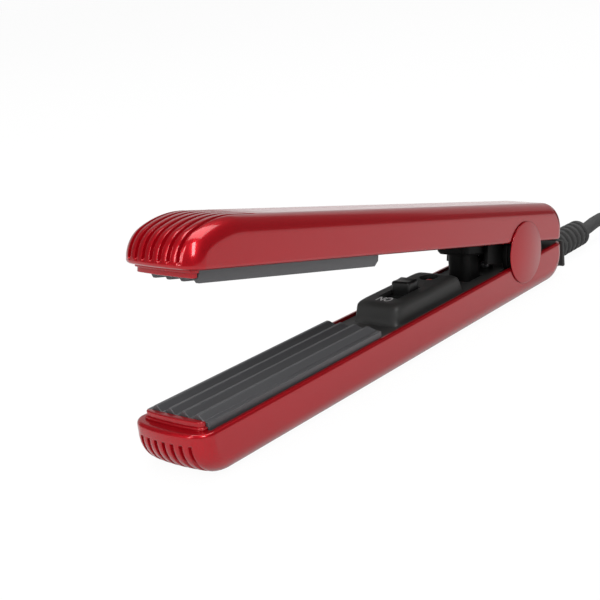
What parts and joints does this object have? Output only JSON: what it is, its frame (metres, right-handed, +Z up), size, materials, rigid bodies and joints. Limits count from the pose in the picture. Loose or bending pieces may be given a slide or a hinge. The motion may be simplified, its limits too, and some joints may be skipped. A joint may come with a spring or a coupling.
{
  "type": "mini crimping iron",
  "caption": "Slim hair iron with corrugated crimping plates: two red arms on a rear hinge, standing open, with a slide switch, a sprung guide and a corded plug.",
  "frame": {"origin": "on the surface the lower arm lies on, straight below the middle of the hinge axis", "axes": "+X from the nose towards the cord, +Y across the arms, +Z up from the surface"},
  "size_m": [0.3692, 0.051, 0.0647],
  "materials": {
    "red_shell": "deep glossy red with a fine metallic depth",
    "black_cover": "fine matt spark-eroded grain",
    "black_knob": "smooth matt, dished for a fingertip",
    "plate_coating": "dark grey non-stick coating on cast aluminium",
    "heat_proof_tray": "heat-proof moulding",
    "heater_wrap": "amber insulating film",
    "inner_plastic": "plain moulding",
    "board": "green solder mask",
    "lamp_lens": "clear-tinted lens",
    "steel": "zinc-plated steel",
    "cord_jacket": "soft black jacket, satin",
    "pin_metal": "nickel-plated brass"
  },
  "bodies": {
    "lower_arm": {"lower_shell": "red_shell", "lower_inner_cover": "black_cover", "spring_post": "black_cover", "return_spring": "steel", "lower_plate": "plate_coating", "lower_plate_carrier": "heat_proof_tray", "lower_heater": "heater_wrap", "thermal_fuse": "steel", "switch_body": "inner_plastic", "circuit_board": "board", "indicator_lamp": "lamp_lens", "hinge_pins": "steel", "hinge_cap_near": "red_shell", "hinge_cap_far": "red_shell", "rear_cap": "black_cover", "cord_clamp": "inner_plastic", "mains_wires": "cord_jacket", "lower_screws": "steel", "cord_boot": "cord_jacket", "cord_lead": "cord_jacket", "cord_hank": "cord_jacket", "cord_tail": "cord_jacket", "cord_tie": "cord_jacket", "plug_body": "cord_jacket", "plug_pins": "pin_metal"},
    "upper_arm": {"upper_shell": "red_shell", "upper_inner_cover": "black_cover", "spring_collar": "black_cover", "upper_plate": "plate_coating", "upper_plate_carrier": "heat_proof_tray", "upper_heater": "heater_wrap", "upper_screws": "steel"},
    "slider": {"switch_slider": "black_knob"}
  },
  "joints": [
    {"name": "arm_hinge", "type": "hinge", "parent": "lower_arm", "child": "upper_arm", "pos_m": [0, 0, 0.0165], "axis": [0, -1, 0], "range_deg": [0, 12.3], "stiffness_Nm_per_rad": 0.5, "springref_deg": -17.19, "deforming": ["return_spring"]},
    {"name": "switch_slide", "type": "slide", "parent": "lower_arm", "child": "slider", "axis": [-1, 0, 0], "range_m": [0, 0.0065]}
  ]
}
